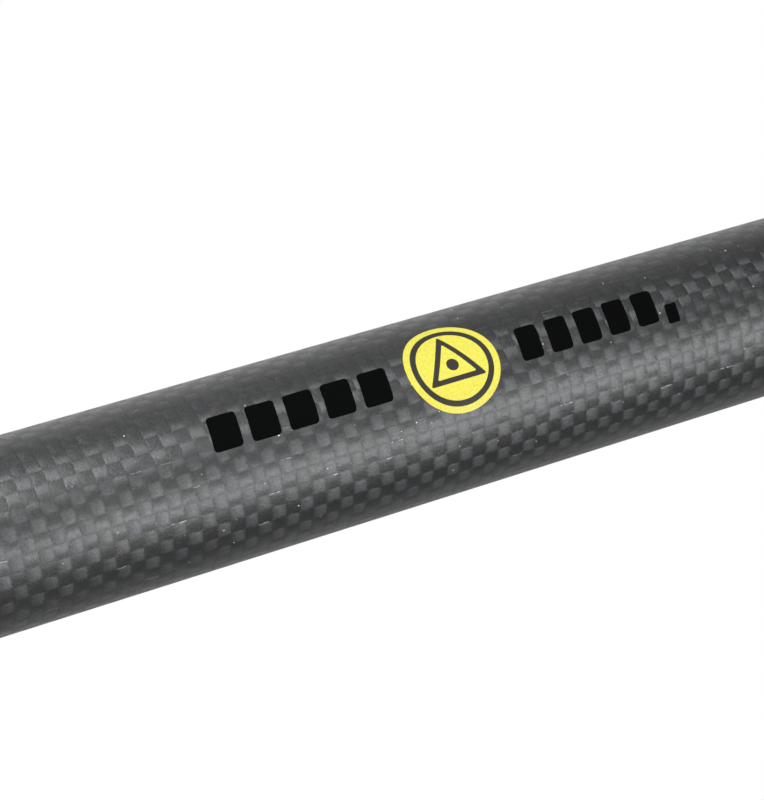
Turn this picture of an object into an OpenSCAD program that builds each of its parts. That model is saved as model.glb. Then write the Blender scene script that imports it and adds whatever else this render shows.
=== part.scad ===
// Two-section telescoping prism pole. The origin is the tip of the steel point, and +Z runs up the pole.
// The clamp's ears and bolt are on the +X side, and its lever and the level's vial are on the -Y side.

/* [Pole] */
// Height of the prism seat above the point when the pole is closed
closed_h = 1250; // [1200:5:1300]
// How far the inner section rises
travel = 750; // [500:10:760]
// Outside diameter of the outer tube
outer_od = 32; // [31.5:0.25:33]
// Outside diameter of the inner tube
inner_od = 25; // [24.5:0.25:25.5]
// Wall of both tubes
tube_wall = 1.5; // [1.4:0.05:1.6]

/* [Foot] */
// Height of the steel point below the shoe
point_h = 48; // [44:1:54]
// Largest radius of the steel point
point_r = 9; // [8.5:0.25:9.5]
// Height at which the outer tube starts
tube_foot_z = 98; // [94:1:102]
// How far the shoe reaches into the tube
spigot_h = 40; // [36:1:44]

/* [Grip] */
// Height of the foam's lower end
grip_z = 760; // [650:10:780]
// Length of the foam
grip_h = 140; // [110:5:145]
// Outside radius of the foam
grip_r = 20.5; // [19.8:0.1:22]

/* [Level] */
// Height of the middle of the level's clamp
level_z = 960; // [955:1:975]
// Distance of the vial from the pole's axis
vial_y = 41; // [40:0.5:46]
// Radius of the vial's body
vial_r = 11; // [10.8:0.1:11.1]
// Radius of the circle that the vial's three screws stand on
screw_ring_r = 13.8; // [13.8:0.05:13.9]

/* [Lock] */
// Outside radius of the lock's collar
collar_r = 19; // [18.8:0.1:19.4]
// Length of the collar's socket on the outer tube
socket_h = 35; // [30:1:40]
// Height of the split ring above the socket
clamp_h = 28; // [28:0.5:30]
// Distance of the clamp bolt from the pole's axis
bolt_x = 26; // [26:0.25:27]
// Distance of the lever's pivot from the clamp's mid plane
pivot_y = 17; // [17:0.25:18]

/* [Head] */
// Radius of the seat for the prism
seat_r = 15.5; // [14.5:0.25:17]
// Major radius of the five-eighths inch stud
stud_r = 7.94; // [7.94]
// Height of the stud above the seat
stud_h = 14; // [12:0.5:16]

/* [Hidden] */
$fn = 96;

// clearances
glue = 0.05;        // bonded and pressed joints
running = 0.06;     // turning and sliding fits
gap = 0.2;          // between faces that pass each other
edge = 0.6;         // small turned chamfers
cut = 1;            // how far a cutter passes through a face

// tubes
outer_r = outer_od / 2;
outer_bore = outer_r - tube_wall;
inner_r = inner_od / 2;
inner_bore = inner_r - tube_wall;
tube_top_z = 1098;

// foot
tip_r = 0.8;
point_cone_h = point_h - 10;
point_flats = 15;
point_thread_r = 5;
point_thread_h = 20;
seal_h = 2;
shoe_z = point_h + seal_h;
shoe_cone_z = tube_foot_z - 7;
spigot_top_z = tube_foot_z + spigot_h;
rivet_r = 1.6;
rivet_head_r = 2.8;
rivet_head_h = 0.9;
rivet_h = 5;
shoe_rivet_z = tube_foot_z + 20;

// inner section, closed
guide_z = spigot_top_z + 14;
guide_h = 12;
guide_neck_r = 9;
stop_z = guide_z + guide_h + travel;
plug_flange_h = 4;
plug_spigot_h = 30;
inner_foot_z = guide_z + guide_h + plug_flange_h;
guide_washer_h = 2;
guide_screw_r = 2;
guide_screw_head_r = 4.2;
guide_screw_head_h = 4.5;
guide_screw_h = 22;
bumper_h = guide_z - guide_washer_h - guide_screw_head_h - 0.3 - spigot_top_z;
head_z = closed_h - 60;
head_spigot_h = 40;
head_rivet_z = head_z - 20;
stud_root_r = 7.7;
stud_root_h = 23;

// lock
collar_z = tube_top_z - socket_h;
collar_top_z = tube_top_z + clamp_h;
liner_r = 14;
liner_flange_r = 16.5;
liner_flange_h = 2;
wiper_h = 4.4;
bolt_z = tube_top_z + clamp_h / 2;
ear_r = 7.5;
ear_y = 9;
slit_w = 2.5;
bolt_r = 3;
bolt_end_y = 22.5;
eye_r = 4.5;
eye_h = 8;
pin_r = 2.5;
cam_r = 5.2;
cam_offset = 0.8;
cheek_in = eye_h / 2 + gap;
cheek_out = 7.6;
pad_face_y = pivot_y - cam_r - cam_offset - gap;
lever_in_r = collar_r + 2;
lever_out_r = lever_in_r + 4.5;
lever_from = -62;
lever_to = -128;
nut_r = 7.5;
nut_h = 10.5;
nut_washer_h = 1;
nut_teeth = 24;
set_screw_r = 2;
set_screw_z = collar_z + 13;

// level
bracket_h = 16;
liner_wall = 0.94;
lip_h = 0.9;
lip_w = 1.5;
bracket_in_r = outer_r + running + liner_wall + running;
bracket_r = bracket_in_r + 3.44;
bracket_z = level_z - bracket_h / 2;
plate_h = 5;
plate_r = 17.5;
plate_top_z = bracket_z + plate_h;
thumb_y = 29;
thumb_r = 2.5;
thumb_head_r = 7;
thumb_head_h = 8;
thumb_teeth = 18;
level_ear_x = 6;
cushion_h = 2.8;
housing_z = plate_top_z + cushion_h;
flange_h = 2.5;
flange_r = 16.5;
cup_r = vial_r - 1.4;
cup_floor_z = housing_z + 3.2;
backing_h = 0.6;
fluid_h = 4.9;
lens_h = 2.5;
bezel_h = 1.5;
screw_r = 1.2;
screw_head_r = 2.55;
screw_head_h = 2.7;

// a point at radius r and angle a, a stretch of a circle, and the angle where a line from p touches a circle
function polar(r, a) = [r * cos(a), r * sin(a)];
function arc(centre, r, from, to, steps) =
    [for (i = [0 : steps]) centre + polar(r, from + (to - from) * i / steps)];
function touch_angle(p, centre, r, side) =
    let (v = p - centre) atan2(v[1], v[0]) + side * acos(r / norm(v));

// a round piece about Z from the outline of its right half
module turned(outline) rotate_extrude() polygon(outline);

// a ring with square edges, standing on z
module ring(outer, inner, z, h) translate([0, 0, z]) difference() {
    cylinder(r = outer, h = h);
    translate([0, 0, -cut]) cylinder(r = inner, h = h + 2 * cut);
}

// a hexagonal key recess, sunk downwards from z
module hex_recess(across, z, depth) translate([0, 0, z - depth])
    cylinder(d = across / cos(30), h = depth + cut, $fn = 6);

// a straight-knurled ring about Z, from z = 0
module knurled(r, teeth, depth, h) linear_extrude(h)
    polygon([for (i = [0 : 2 * teeth - 1]) polar(r - (i % 2) * depth, i * 180 / teeth)]);

// ---- foot ----

module steel_point() color("silver") difference() {
    turned([
        [0, 0], [tip_r, tip_r], [point_r - 0.5, point_cone_h - 1], [point_r, point_cone_h],
        [point_r, point_h - edge], [point_r - edge, point_h], [point_thread_r - glue, point_h],
        [point_thread_r - glue, point_h + point_thread_h - 1], [point_thread_r - 1, point_h + point_thread_h],
        [0, point_h + point_thread_h]
    ]);
    // two flats for a spanner
    for (side = [0, 180]) rotate(side) translate([point_flats / 2, -point_r, point_cone_h + 1])
        cube([point_r, 2 * point_r, 8]);
}

module point_seal() color("black") ring(point_r - 0.3, point_thread_r + 0.2, point_h, seal_h);

module rivet_row(r, z, grow) for (side = [0, 180]) rotate(side) translate([r, 0, z]) rotate([0, 90, 0])
    translate([0, 0, -rivet_h]) cylinder(r = rivet_r + grow, h = rivet_h + (grow > 0 ? cut : 0));

module foot_shoe() color("dimgray") difference() {
    turned([
        [0, shoe_z], [point_r - edge, shoe_z], [point_r, shoe_z + edge], [outer_r - 0.5, shoe_cone_z],
        [outer_r, shoe_cone_z + edge], [outer_r, tube_foot_z], [outer_bore - glue, tube_foot_z],
        [outer_bore - glue, spigot_top_z - 1], [outer_bore - 1, spigot_top_z], [0, spigot_top_z]
    ]);
    translate([0, 0, shoe_z - cut]) cylinder(r = point_thread_r, h = point_thread_h + cut + 2);
    translate([0, 0, tube_foot_z + 4]) cylinder(r = outer_bore - 6, h = spigot_h);
    rivet_row(outer_r, shoe_rivet_z, glue);
}

module rivets(r, z) {
    rivet_row(r, z, 0);
    for (side = [0, 180]) rotate(side) translate([r, 0, z]) rotate([0, 90, 0]) turned([
        [0, 0], [rivet_head_r, 0], [rivet_head_r - 0.2, rivet_head_h / 2], [rivet_r, rivet_head_h * 0.9],
        [0, rivet_head_h]
    ]);
}

module shoe_rivets() color("silver") rivets(outer_r, shoe_rivet_z);

module outer_tube() color("darkslategray") difference() {
    ring(outer_r, outer_bore, tube_foot_z, tube_top_z - tube_foot_z);
    rivet_row(outer_r, shoe_rivet_z, glue);
}

module bottom_bumper() color("black") turned([
    [4, spigot_top_z], [outer_bore - 0.3, spigot_top_z], [outer_bore - 0.3, spigot_top_z + bumper_h - 1],
    [outer_bore - 1.3, spigot_top_z + bumper_h], [5, spigot_top_z + bumper_h], [4, spigot_top_z + bumper_h - 1]
]);

module stop_sleeve() color("gainsboro")
    ring(outer_bore - glue, inner_r + 0.4, stop_z, tube_top_z - 1 - stop_z);

// ---- grip ----

module grip_foam() color("black") turned([
    [outer_r + glue, grip_z], [grip_r - 1.5, grip_z], [grip_r, grip_z + 3],
    [grip_r, grip_z + grip_h - 3], [grip_r - 1.5, grip_z + grip_h], [outer_r + glue, grip_z + grip_h]
]);

module grip_ring(z, up) color("gold") translate([0, 0, z]) mirror([0, 0, up ? 0 : 1]) turned([
    [outer_r + glue, 0], [outer_r + 3.2, 0], [outer_r + 3.2, 5 - edge], [outer_r + 3.2 - edge, 5],
    [outer_r + 1.4, 5], [outer_r + 0.8, 6], [outer_r + glue, 6]
]);

module grip_ring_lower() grip_ring(grip_z, false);
module grip_ring_upper() grip_ring(grip_z + grip_h, true);

// ---- lock ----

module along_bolt(from_y, to_y, r) translate([bolt_x, from_y, bolt_z]) rotate([-90, 0, 0])
    cylinder(r = r, h = to_y - from_y);

module lock_collar() color("dimgray") difference() {
    union() {
        turned([
            [0, collar_z], [collar_r - 0.8, collar_z], [collar_r, collar_z + 0.8],
            [collar_r, tube_top_z - 6], [collar_r - 0.8, tube_top_z - 5.2], [collar_r - 0.8, tube_top_z - 3],
            [collar_r, tube_top_z - 2.2], [collar_r, collar_top_z - 0.8], [collar_r - 0.8, collar_top_z],
            [0, collar_top_z]
        ]);
        translate([liner_r, -ear_y, bolt_z - ear_r]) cube([bolt_x - liner_r, 2 * ear_y, 2 * ear_r]);
        along_bolt(-ear_y, ear_y, ear_r);
    }
    translate([0, 0, collar_z - cut]) cylinder(r = outer_r + glue, h = socket_h + cut);
    cylinder(r = liner_r, h = collar_top_z + cut);
    // the slit through the ears, and the relief slot that lets the ring close
    translate([0, -slit_w / 2, tube_top_z + 2]) cube([2 * bolt_x, slit_w, clamp_h]);
    translate([-5, -2 * collar_r, tube_top_z + 1.4]) cube([2 * bolt_x, 4 * collar_r, 2]);
    along_bolt(-ear_y - cut, ear_y + cut, bolt_r + 0.1);
    for (side = [-90, 90]) rotate(side) translate([outer_r - cut, 0, set_screw_z]) rotate([0, 90, 0])
        cylinder(r = set_screw_r + glue, h = collar_r);
}

module collar_set_screws() color("silver") for (side = [-90, 90]) rotate(side)
    translate([outer_r + 0.1, 0, set_screw_z]) rotate([0, 90, 0]) difference() {
        cylinder(r = set_screw_r, h = collar_r - outer_r - 0.5);
        hex_recess(2, collar_r - outer_r - 0.5, 1.6);
    }

module lock_liner() color("whitesmoke") difference() {
    turned([
        [inner_r + running, tube_top_z + 0.5], [liner_r - running, tube_top_z + 0.5],
        [liner_r - running, collar_top_z], [liner_flange_r, collar_top_z],
        [liner_flange_r, collar_top_z + liner_flange_h - 0.5],
        [liner_flange_r - 0.5, collar_top_z + liner_flange_h],
        [inner_r + running, collar_top_z + liner_flange_h]
    ]);
    translate([0, -0.75, tube_top_z]) cube([2 * collar_r, 1.5, clamp_h + liner_flange_h + cut]);
}

module dust_wiper() color("black") translate([0, 0, collar_top_z + liner_flange_h]) turned([
    [inner_r + 0.1, 0], [liner_flange_r - 0.5, 0], [liner_flange_r - 0.5, 1.6],
    [inner_r + 1.6, wiper_h - 0.4], [inner_r + 0.7, wiper_h], [inner_r + 0.1, wiper_h]
]);

module lock_bolt() color("silver") difference() {
    union() {
        along_bolt(-pivot_y, bolt_end_y, bolt_r);
        translate([bolt_x, -pivot_y, bolt_z - eye_h / 2]) cylinder(r = eye_r, h = eye_h);
    }
    translate([bolt_x, -pivot_y, bolt_z - eye_h]) cylinder(r = pin_r + running, h = 2 * eye_h);
}

module cam_pad() color("goldenrod") difference() {
    translate([bolt_x - 6, -pad_face_y, bolt_z - ear_r]) cube([12, pad_face_y - ear_y, 2 * ear_r]);
    along_bolt(-pad_face_y - cut, -ear_y + cut, bolt_r + 0.1);
}

module nut_washer() color("goldenrod") difference() {
    along_bolt(ear_y, ear_y + nut_washer_h, nut_r - 0.5);
    along_bolt(ear_y - cut, ear_y + nut_washer_h + cut, bolt_r + 0.1);
}

// the lever seen from above: the arm's inner side, the cam, the arm's outer side and a tip that flares out
module lever_outline() {
    cam_centre = [bolt_x, cam_offset - pivot_y];
    cam_from = touch_angle(polar(lever_in_r, lever_from), cam_centre, cam_r, -1);
    cam_to = touch_angle(polar(lever_out_r, lever_from), cam_centre, cam_r, 1);
    polygon(concat(
        arc([0, 0], lever_in_r, lever_to, lever_from, 24),
        arc(cam_centre, cam_r, cam_from + 360, cam_to, 24),
        arc([0, 0], lever_out_r, lever_from, lever_to, 28),
        [
            polar(lever_out_r + 0.7, lever_to - 8), polar(lever_out_r + 4.4, lever_to - 15),
            polar(lever_out_r + 3.8, lever_to - 18), polar(lever_in_r + 2.2, lever_to - 13)
        ]
    ));
}

module lock_lever() color("black") difference() {
    translate([0, 0, bolt_z - cheek_out]) linear_extrude(2 * cheek_out) lever_outline();
    // room for the bolt's eye and shank between the two cheeks, over the lever's whole swing
    translate([bolt_x, -pivot_y, bolt_z - cheek_in]) {
        cylinder(r = eye_r + 0.9, h = 2 * cheek_in);
        translate([-eye_r, 0, 0]) cube([4 * eye_r, 4 * eye_r, 2 * cheek_in]);
    }
    translate([bolt_x, -pivot_y, bolt_z - 2 * cheek_out]) cylinder(r = pin_r + 0.01, h = 4 * cheek_out);
}

module lever_pin() color("silver") translate([bolt_x, -pivot_y, bolt_z]) turned([
    [0, -cheek_out - 0.8], [pin_r - 0.5, -cheek_out - 0.8], [pin_r, -cheek_out - 0.3],
    [pin_r, cheek_out + 0.3], [pin_r - 0.5, cheek_out + 0.8], [0, cheek_out + 0.8]
]);

module tension_nut() color("dimgray")
    translate([bolt_x, ear_y + nut_washer_h + 0.15, bolt_z]) rotate([-90, 0, 0]) difference() {
        union() {
            turned([[0, 0], [nut_r - 1, 0], [nut_r - 1, nut_h - 1], [nut_r - 2, nut_h], [0, nut_h]]);
            translate([0, 0, 1.2]) knurled(nut_r, nut_teeth, 0.5, nut_h - 3.4);
        }
        translate([0, 0, -cut]) cylinder(r = bolt_r + running, h = nut_h + 2 * cut);
    }

// ---- inner section, in its closed place ----

module guide_ring() color("whitesmoke") difference() {
    turned([
        [guide_neck_r + running, guide_z + gap], [outer_bore - 0.8, guide_z + gap],
        [outer_bore - 0.08, guide_z + gap + 1], [outer_bore - 0.08, guide_z + guide_h - gap - 1],
        [outer_bore - 0.8, guide_z + guide_h - gap], [guide_neck_r + running, guide_z + guide_h - gap]
    ]);
    // air passes through four grooves as the section slides
    for (a = [0 : 90 : 270]) rotate(a) translate([outer_bore, 0, guide_z - cut])
        cylinder(r = 1.2, h = guide_h + 2 * cut);
}

module end_plug() color("dimgray") difference() {
    turned([
        [0, guide_z], [guide_neck_r, guide_z], [guide_neck_r, guide_z + guide_h],
        [inner_r - 0.2, guide_z + guide_h], [inner_r - 0.2, inner_foot_z], [inner_bore - glue, inner_foot_z],
        [inner_bore - glue, inner_foot_z + plug_spigot_h - 1], [inner_bore - 1, inner_foot_z + plug_spigot_h],
        [0, inner_foot_z + plug_spigot_h]
    ]);
    translate([0, 0, guide_z - cut]) cylinder(r = guide_screw_r + glue, h = guide_screw_h + cut);
}

module guide_washer() color("silver")
    ring(inner_r - 0.5, guide_screw_r + 0.3, guide_z - guide_washer_h, guide_washer_h);

module guide_screw() color("silver") difference() {
    turned([
        [0, guide_z - guide_washer_h - guide_screw_head_h],
        [guide_screw_head_r - 0.5, guide_z - guide_washer_h - guide_screw_head_h],
        [guide_screw_head_r, guide_z - guide_washer_h - guide_screw_head_h + 0.5],
        [guide_screw_head_r, guide_z - guide_washer_h], [guide_screw_r, guide_z - guide_washer_h],
        [guide_screw_r, guide_z + guide_screw_h - 3], [0, guide_z + guide_screw_h - 2]
    ]);
    translate([0, 0, guide_z - guide_washer_h - guide_screw_head_h]) mirror([0, 0, 1]) hex_recess(4, 0, 2.5);
}

module inner_tube() color("darkslategray") difference() {
    ring(inner_r, inner_bore, inner_foot_z, head_z - inner_foot_z);
    rivet_row(inner_r, head_rivet_z, glue);
}

module pole_head() color("dimgray") difference() {
    turned([
        [0, head_z - head_spigot_h], [inner_bore - 1, head_z - head_spigot_h],
        [inner_bore - glue, head_z - head_spigot_h + 1], [inner_bore - glue, head_z],
        [inner_r + 1.4, head_z], [inner_r + 2, head_z + edge], [inner_r + 2, head_z + 13],
        [inner_r + 1.4, head_z + 13 + edge], [inner_r + 1.4, head_z + 30],
        [seat_r - edge, closed_h - 14], [seat_r, closed_h - 13], [seat_r, closed_h - edge],
        [seat_r - edge, closed_h], [0, closed_h]
    ]);
    translate([0, 0, closed_h - stud_root_h - cut]) cylinder(r = stud_r + glue, h = stud_root_h + 2 * cut);
    rivet_row(inner_r, head_rivet_z, glue);
    // spanner flats on the waist, and two grooves round the lower band
    for (side = [0, 180]) rotate(side) translate([inner_r - 0.2, -seat_r, head_z + 18])
        cube([seat_r, 2 * seat_r, 10]);
    for (z = [4, 8]) ring(2 * seat_r, inner_r + 1.4, head_z + z, 1);
}

module head_rivets() color("silver") rivets(inner_r, head_rivet_z);

module head_stud() color("silver") translate([0, 0, closed_h]) turned([
    [0, -stud_root_h], [stud_root_r - 1, -stud_root_h], [stud_root_r, 1 - stud_root_h], [stud_root_r, 0],
    [stud_r, 0], [stud_r, stud_h - 1.2], [stud_r - 1.2, stud_h], [0, stud_h]
]);

// ---- level ----

module level_liner() color("whitesmoke") difference() {
    translate([0, 0, bracket_z]) turned([
        [outer_r + running, -gap - lip_h], [bracket_in_r + lip_w, -gap - lip_h], [bracket_in_r + lip_w, -gap],
        [bracket_in_r - running, -gap], [bracket_in_r - running, bracket_h + gap],
        [bracket_in_r + lip_w, bracket_h + gap], [bracket_in_r + lip_w, bracket_h + gap + lip_h],
        [outer_r + running, bracket_h + gap + lip_h]
    ]);
    translate([-1, 0, bracket_z - 2]) cube([2, 2 * outer_r, bracket_h + 4]);
}

module across_ears(from_x, to_x, r) translate([from_x, thumb_y, level_z]) rotate([0, 90, 0])
    cylinder(r = r, h = to_x - from_x);

module vial_screw_place(a) translate([screw_ring_r * cos(a), screw_ring_r * sin(a) - vial_y, 0]) children();
module vial_screw_places() for (a = [90, 210, 330]) vial_screw_place(a) children();

module level_bracket() color("dimgray") difference() {
    union() {
        translate([0, 0, bracket_z]) cylinder(r = bracket_r, h = bracket_h);
        translate([-level_ear_x, 0, level_z - ear_r]) cube([2 * level_ear_x, thumb_y, 2 * ear_r]);
        across_ears(-level_ear_x, level_ear_x, ear_r);
        translate([-9, -vial_y, bracket_z]) cube([18, vial_y, plate_h]);
        translate([0, -vial_y, bracket_z]) cylinder(r = plate_r, h = plate_h);
        // two webs brace the plate
        for (x = [-9, 6.5]) translate([x, 0, plate_top_z]) rotate([90, 0, 90]) linear_extrude(2.5) polygon([
            [0, 0], [0, bracket_h - plate_h], [-bracket_in_r, bracket_h - plate_h], [-bracket_r - 3, 0]
        ]);
    }
    translate([0, 0, bracket_z - cut]) cylinder(r = bracket_in_r, h = bracket_h + 2 * cut);
    translate([-slit_w / 2, 0, bracket_z - cut]) cube([slit_w, 2 * thumb_y, bracket_h + 2 * cut]);
    across_ears(-level_ear_x - cut, level_ear_x + cut, thumb_r + running);
    translate([0, -vial_y, bracket_z - cut]) cylinder(r = 4, h = plate_h + 2 * cut);
    vial_screw_places() translate([0, 0, bracket_z - cut])
        cylinder(r = screw_r + running, h = plate_h + 2 * cut);
}

module level_clamp_nut() color("silver") difference() {
    translate([-level_ear_x, thumb_y, level_z]) rotate([0, -90, 0]) cylinder(d = 9 / cos(30), h = 4, $fn = 6);
    across_ears(-level_ear_x - 5, -level_ear_x + cut, thumb_r + running);
}

module level_thumb_screw() color("dimgray") {
    across_ears(-level_ear_x - 5, level_ear_x + 0.5, thumb_r);
    translate([level_ear_x + 0.3, thumb_y, level_z]) rotate([0, 90, 0]) {
        turned([
            [0, 0], [thumb_head_r - 1.6, 0], [thumb_head_r - 0.8, 1.4], [thumb_head_r - 0.8, thumb_head_h - 1],
            [thumb_head_r - 1.8, thumb_head_h], [0, thumb_head_h]
        ]);
        translate([0, 0, 1.5]) knurled(thumb_head_r, thumb_teeth, 0.6, thumb_head_h - 3);
    }
}

// a round piece of the vial, from an outline whose heights are measured from the housing's underside
module vial_turned(outline) translate([0, -vial_y, housing_z]) turned(outline);

module vial_cushion() color("black") translate([0, -vial_y, plate_top_z + cushion_h / 2]) rotate_extrude()
    translate([7.5, 0]) circle(r = cushion_h / 2, $fn = 32);

module vial_housing() color("dimgray") difference() {
    vial_turned([
        [0, 0], [flange_r - 0.4, 0], [flange_r, 0.4], [flange_r, flange_h - 0.4], [flange_r - 0.4, flange_h],
        [vial_r, flange_h], [vial_r, cup_floor_z - housing_z + backing_h + fluid_h + lens_h],
        [cup_r, cup_floor_z - housing_z + backing_h + fluid_h + lens_h], [cup_r, cup_floor_z - housing_z],
        [0, cup_floor_z - housing_z]
    ]);
    vial_screw_places() translate([0, 0, housing_z - cut]) cylinder(r = screw_r + 0.35, h = flange_h + 2 * cut);
}

module vial_disc(z, h) translate([0, -vial_y, cup_floor_z + z]) cylinder(r = cup_r - glue, h = h);

module vial_backing() color("palegreen") vial_disc(0, backing_h);
module vial_fluid() color("yellow") vial_disc(backing_h, fluid_h);
module vial_lens() color("lightcyan") vial_disc(backing_h + fluid_h, lens_h);

module vial_bezel() color("black") translate([0, -vial_y, cup_floor_z + backing_h + fluid_h + lens_h]) turned([
    [cup_r - 1.2, 0], [vial_r, 0], [vial_r, bezel_h - 0.5], [vial_r - 0.5, bezel_h], [cup_r - 0.7, bezel_h]
]);

module vial_screw(a) color("silver") vial_screw_place(a) difference() {
    union() {
        translate([0, 0, bracket_z + 0.5]) cylinder(r = screw_r, h = housing_z + flange_h - bracket_z);
        translate([0, 0, housing_z + flange_h + glue]) turned([
            [0, 0], [screw_head_r, 0], [screw_head_r, screw_head_h - 0.4], [screw_head_r - 0.4, screw_head_h],
            [0, screw_head_h]
        ]);
    }
    hex_recess(2.5, housing_z + flange_h + glue + screw_head_h, 1.5);
}

module vial_screw_1() vial_screw(90);
module vial_screw_2() vial_screw(210);
module vial_screw_3() vial_screw(330);

steel_point();
point_seal();
foot_shoe();
shoe_rivets();
outer_tube();
bottom_bumper();
grip_foam();
grip_ring_lower();
grip_ring_upper();
stop_sleeve();
lock_collar();
collar_set_screws();
lock_liner();
dust_wiper();
lock_bolt();
cam_pad();
nut_washer();
lock_lever();
lever_pin();
tension_nut();
guide_ring();
end_plug();
guide_washer();
guide_screw();
inner_tube();
pole_head();
head_rivets();
head_stud();
level_liner();
level_bracket();
level_clamp_nut();
level_thumb_screw();
vial_cushion();
vial_housing();
vial_backing();
vial_fluid();
vial_lens();
vial_bezel();
vial_screw_1();
vial_screw_2();
vial_screw_3();
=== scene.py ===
import math

import bmesh
import bpy
from mathutils import Matrix, Vector, noise


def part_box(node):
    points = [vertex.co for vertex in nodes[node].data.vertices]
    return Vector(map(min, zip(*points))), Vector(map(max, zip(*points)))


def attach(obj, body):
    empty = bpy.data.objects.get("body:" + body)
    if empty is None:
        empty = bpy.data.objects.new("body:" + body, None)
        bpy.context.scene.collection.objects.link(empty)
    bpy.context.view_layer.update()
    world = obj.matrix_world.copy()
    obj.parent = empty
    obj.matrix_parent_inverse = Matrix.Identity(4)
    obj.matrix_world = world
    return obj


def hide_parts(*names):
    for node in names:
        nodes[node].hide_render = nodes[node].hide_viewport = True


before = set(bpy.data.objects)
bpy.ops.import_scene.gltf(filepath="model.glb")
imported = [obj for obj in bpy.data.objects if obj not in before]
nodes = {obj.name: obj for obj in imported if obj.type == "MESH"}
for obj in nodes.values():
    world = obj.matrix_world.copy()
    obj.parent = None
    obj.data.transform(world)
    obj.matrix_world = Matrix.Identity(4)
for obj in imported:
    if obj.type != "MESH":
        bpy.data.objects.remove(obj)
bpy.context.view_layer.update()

MM = 0.001
TUBE_R = 16 * MM  # outside radius of the outer tube
INNER_R = 12.5 * MM  # outside radius of the inner tube
WALL = 1.5 * MM  # thickness of both tubes
PRINT_Z = 430 * MM  # height of the badge's middle


# ---- camera, world and lights ----

CAMERA_SIDE = 21.5  # degrees round the pole from -Y towards +X
CAMERA_OUT = 0.4206  # distance from the pole's axis
CAMERA_BELOW = 0.1882  # height of the badge above the camera
CAMERA_RISE = 23.18  # degrees that it looks up along the pole
CAMERA_TURN = -0.49  # degrees that it looks past the axis
CAMERA_ROLL = 73.5  # degrees that it leans about its line of sight
SENSOR_MM, LENS_MM = 36, 117.5


def outward(phi):
    """The level direction away from the pole, phi degrees round from the camera's side towards the print."""
    a = math.radians(CAMERA_SIDE - 90 - phi)
    return Vector((math.cos(a), math.sin(a), 0))


def make_camera():
    data = bpy.data.cameras.new("camera")
    data.sensor_width = SENSOR_MM
    data.lens = LENS_MM
    camera = bpy.data.objects.new("camera", data)
    bpy.context.scene.collection.objects.link(camera)
    place = outward(0) * CAMERA_OUT + Vector((0, 0, PRINT_Z - CAMERA_BELOW))
    forward = -outward(CAMERA_TURN) * math.cos(math.radians(CAMERA_RISE))
    forward.z = math.sin(math.radians(CAMERA_RISE))
    level_right = forward.cross(Vector((0, 0, 1))).normalized()
    level_up = level_right.cross(forward)
    roll = math.radians(CAMERA_ROLL)
    right = level_right * math.cos(roll) + level_up * math.sin(roll)
    up = right.cross(forward)
    facing = Matrix((right, up, -forward)).transposed().to_4x4()
    camera.matrix_world = Matrix.Translation(place) @ facing
    bpy.context.scene.camera = camera


SEEN_LEVEL = 1.0  # how bright the studio looks behind the pole
MATT_LEVEL = 0.85  # how bright it is for matt and clear surfaces
GLOSS_LEVEL = 0.040  # how bright it is for gloss, in front of the pole
GLOSS_REAR = (0.13, 0.88)  # what is added behind the pole, on the side away from the print and on its side
REAR_FULL = 0.55  # where that is reached, as the cosine of the angle to straight behind


def make_world():
    """A white studio. Gloss sees it dimmer, and brighter behind the pole than in front of it."""
    world = bpy.data.worlds.new("studio")
    bpy.context.scene.world = world
    world.use_nodes = True
    tree = world.node_tree

    def node(kind, *values, **settings):
        made = tree.nodes.new("ShaderNode" + kind)
        for name, value in settings.items():
            setattr(made, name, value)
        for socket, value in zip(made.inputs, values):
            if isinstance(value, bpy.types.NodeSocket):
                tree.links.new(value, socket)
            else:
                socket.default_value = value
        return made

    def towards(phi):
        """The cosine of the angle between a ray and a level direction."""
        direction = node("TexCoord").outputs["Generated"]
        return node("VectorMath", direction, tuple(outward(phi)), operation="DOT_PRODUCT").outputs["Value"]

    rear = node("MapRange", towards(180), 0.0, REAR_FULL, 0.0, 1.0).outputs[0]
    rear_level = node("MapRange", towards(90), -1.0, 1.0, *GLOSS_REAR).outputs[0]
    level = node("Math", rear, rear_level, GLOSS_LEVEL, operation="MULTIPLY_ADD").outputs[0]
    white = (1, 1, 1, 1)
    in_gloss = node("Background", white, level).outputs[0]
    on_matt = node("Background", white, MATT_LEVEL).outputs[0]
    seen = node("Background", white, SEEN_LEVEL).outputs[0]
    ray = node("LightPath").outputs
    soft = node("Math", ray["Is Diffuse Ray"], ray["Is Transmission Ray"], operation="MAXIMUM").outputs[0]
    unseen = node("MixShader", soft, in_gloss, on_matt).outputs[0]
    whole = node("MixShader", ray["Is Camera Ray"], unseen, seen).outputs[0]
    tree.links.new(whole, tree.nodes["World Output"].inputs[0])
    bpy.context.scene.view_settings.view_transform = "Standard"


def soft_box(name, phi, distance, z, width, height, power):
    """A lamp with a rectangular screen that faces the print, out of the camera's sight."""
    data = bpy.data.lights.new(name, "AREA")
    data.shape = "RECTANGLE"
    data.size = width
    data.size_y = height
    data.energy = power
    light = bpy.data.objects.new(name, data)
    bpy.context.scene.collection.objects.link(light)
    light.location = outward(phi) * distance + Vector((0, 0, z))
    ahead = Vector((0, 0, PRINT_Z)) - light.location
    light.rotation_euler = ahead.to_track_quat("-Z", "Y").to_euler()
    light.visible_camera = False
    return light


make_camera()
make_world()
key = soft_box("key", phi=-29, distance=1.6, z=1.12, width=0.50, height=0.80, power=15)
fill = soft_box("fill", phi=45, distance=1.2, z=0.17, width=0.80, height=0.35, power=13)


# ---- mesh building ----

def new_piece(name, mesh, material, body, replaced=()):
    """Puts a mesh in the scene as a piece that rides on a body, with the CAD nodes that it stands for."""
    piece = bpy.data.objects.new(name, mesh)
    bpy.context.scene.collection.objects.link(piece)
    piece.data.materials.append(material)
    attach(piece, body)
    if replaced:
        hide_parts(*replaced)
    return piece


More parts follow.
